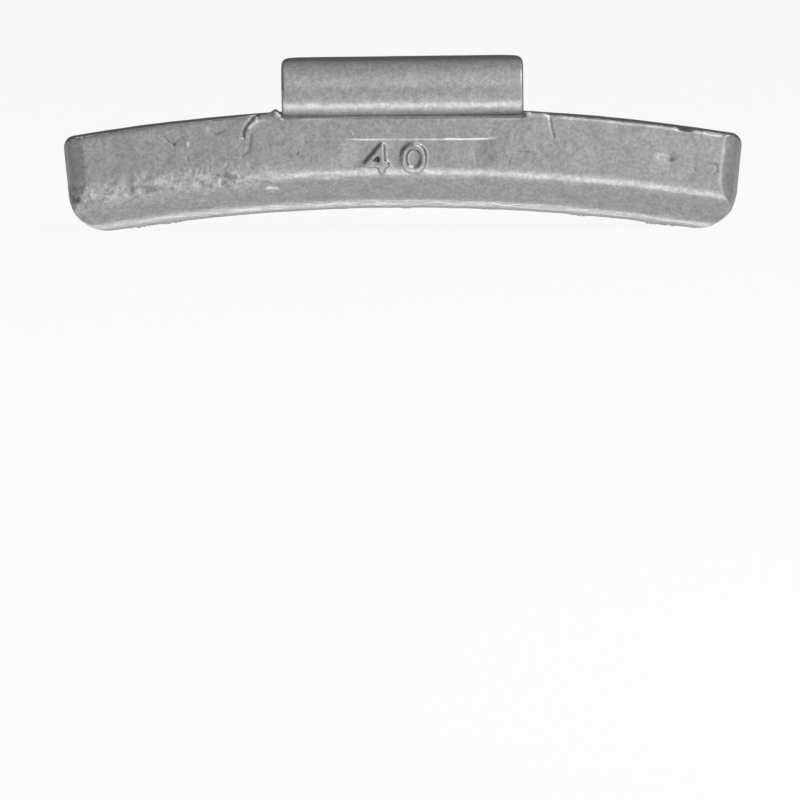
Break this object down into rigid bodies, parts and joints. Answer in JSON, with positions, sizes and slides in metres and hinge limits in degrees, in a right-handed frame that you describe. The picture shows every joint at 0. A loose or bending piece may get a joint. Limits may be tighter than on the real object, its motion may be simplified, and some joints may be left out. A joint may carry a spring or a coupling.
{
  "type": "wheel balance weight",
  "caption": "Curved, silver-coated cast bar with a bent spring-steel clip that hooks over a wheel rim's flange to balance the wheel.",
  "frame": {"origin": "middle of the footprint, on the level of the two feet of the arched underside", "axes": "+X along the bar to the right as seen from the marked face, +Y out of the flat back towards the rim, +Z from the wheel's axis outwards at the middle of the bar"},
  "size_m": [0.0714, 0.0094, 0.0182],
  "materials": {
    "cast_coat": "satin silver coat with a fine metallic grain over a rough casting",
    "clip_coat": "satin silver coat over rolled steel strip"
  },
  "bodies": {
    "root": {"cast_body": "cast_coat", "spring_clip": "clip_coat"}
  },
  "joints": []
}
